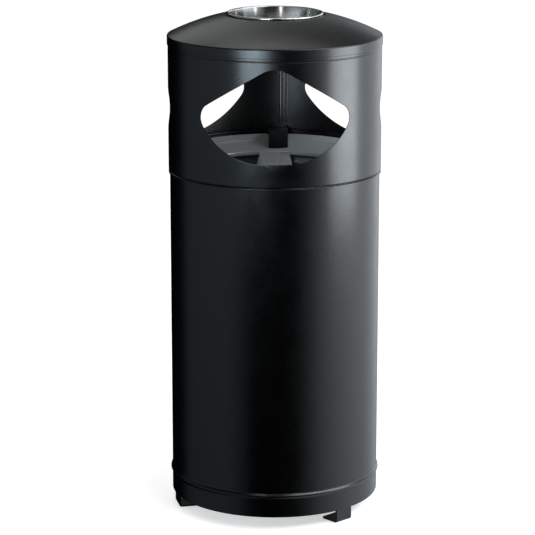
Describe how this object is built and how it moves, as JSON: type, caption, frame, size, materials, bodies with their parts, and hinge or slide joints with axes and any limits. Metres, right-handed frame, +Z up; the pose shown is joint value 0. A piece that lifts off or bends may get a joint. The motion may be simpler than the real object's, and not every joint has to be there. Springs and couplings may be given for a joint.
{
  "type": "litter bin",
  "caption": "Round free-standing outdoor litter bin: lift-off head with side waste openings, domed lid with ashtray, removable inner liner, key lock and strip feet.",
  "frame": {"origin": "on the ground, on the bin's axis, in the plane of the undersides of the feet", "axes": "+Z up along the bin's axis; -Y towards the front waste opening; +X to the right seen from the front"},
  "size_m": [0.4486, 0.4486, 1.057],
  "materials": {
    "black_coat": "satin black polyester powder coat with a very fine grain",
    "black_bracket": "black powder-coated steel strip and brackets",
    "grey_steel": "dark grey satin coated sheet, slightly metallic",
    "galvanised": "hot-dip galvanised sheet with a faint spangle",
    "stainless": "polished stainless steel with a fine turned grain",
    "zinc_fastener": "zinc-plated steel fasteners",
    "lock_metal": "nickel-plated lock"
  },
  "bodies": {
    "stand": {"lower_shell": "black_coat", "shell_seam": "black_coat", "neck_ring": "black_coat", "base_plate": "galvanised", "foot_right": "black_bracket", "foot_left": "black_bracket", "foot_rear": "black_bracket", "foot_bolts": "zinc_fastener", "foot_washers": "zinc_fastener", "foot_nuts": "zinc_fastener", "liner_rests": "black_bracket", "lock_body": "lock_metal", "lock_nut": "zinc_fastener"},
    "lock_key_part": {"lock_spindle": "lock_metal", "lock_cam": "zinc_fastener", "lock_screw": "zinc_fastener"},
    "head": {"head_shell": "black_coat", "head_seam": "black_coat", "lid": "black_coat", "ashtray_well": "black_coat", "striker": "black_bracket"},
    "ashtray": {"ashtray_bowl": "stainless"},
    "grid": {"ash_grid": "stainless", "grid_knob": "stainless", "knob_screw": "zinc_fastener"},
    "liner": {"funnel_ring": "grey_steel", "lock_guard": "black_bracket", "liner_wall": "galvanised", "liner_floor": "galvanised", "grip_rear": "galvanised", "grip_front": "galvanised"}
  },
  "joints": [
    {"name": "head_lift", "type": "slide", "parent": "stand", "child": "head", "axis": [0, 0, 1], "range_m": [0, 0.35]},
    {"name": "liner_lift", "type": "slide", "parent": "stand", "child": "liner", "axis": [0, 0, 1], "range_m": [0, 0.12]},
    {"name": "lock_turn", "type": "hinge", "parent": "stand", "child": "lock_key_part", "pos_m": [-0.01, 0.207, 0.693], "axis": [0, 1, 0], "range_deg": [0, 90]},
    {"name": "ashtray_lift", "type": "slide", "parent": "head", "child": "ashtray", "axis": [0, 0, 1], "range_m": [0, 0.12]},
    {"name": "grid_lift", "type": "slide", "parent": "ashtray", "child": "grid", "axis": [0, 0, 1], "range_m": [0, 0.06]}
  ]
}
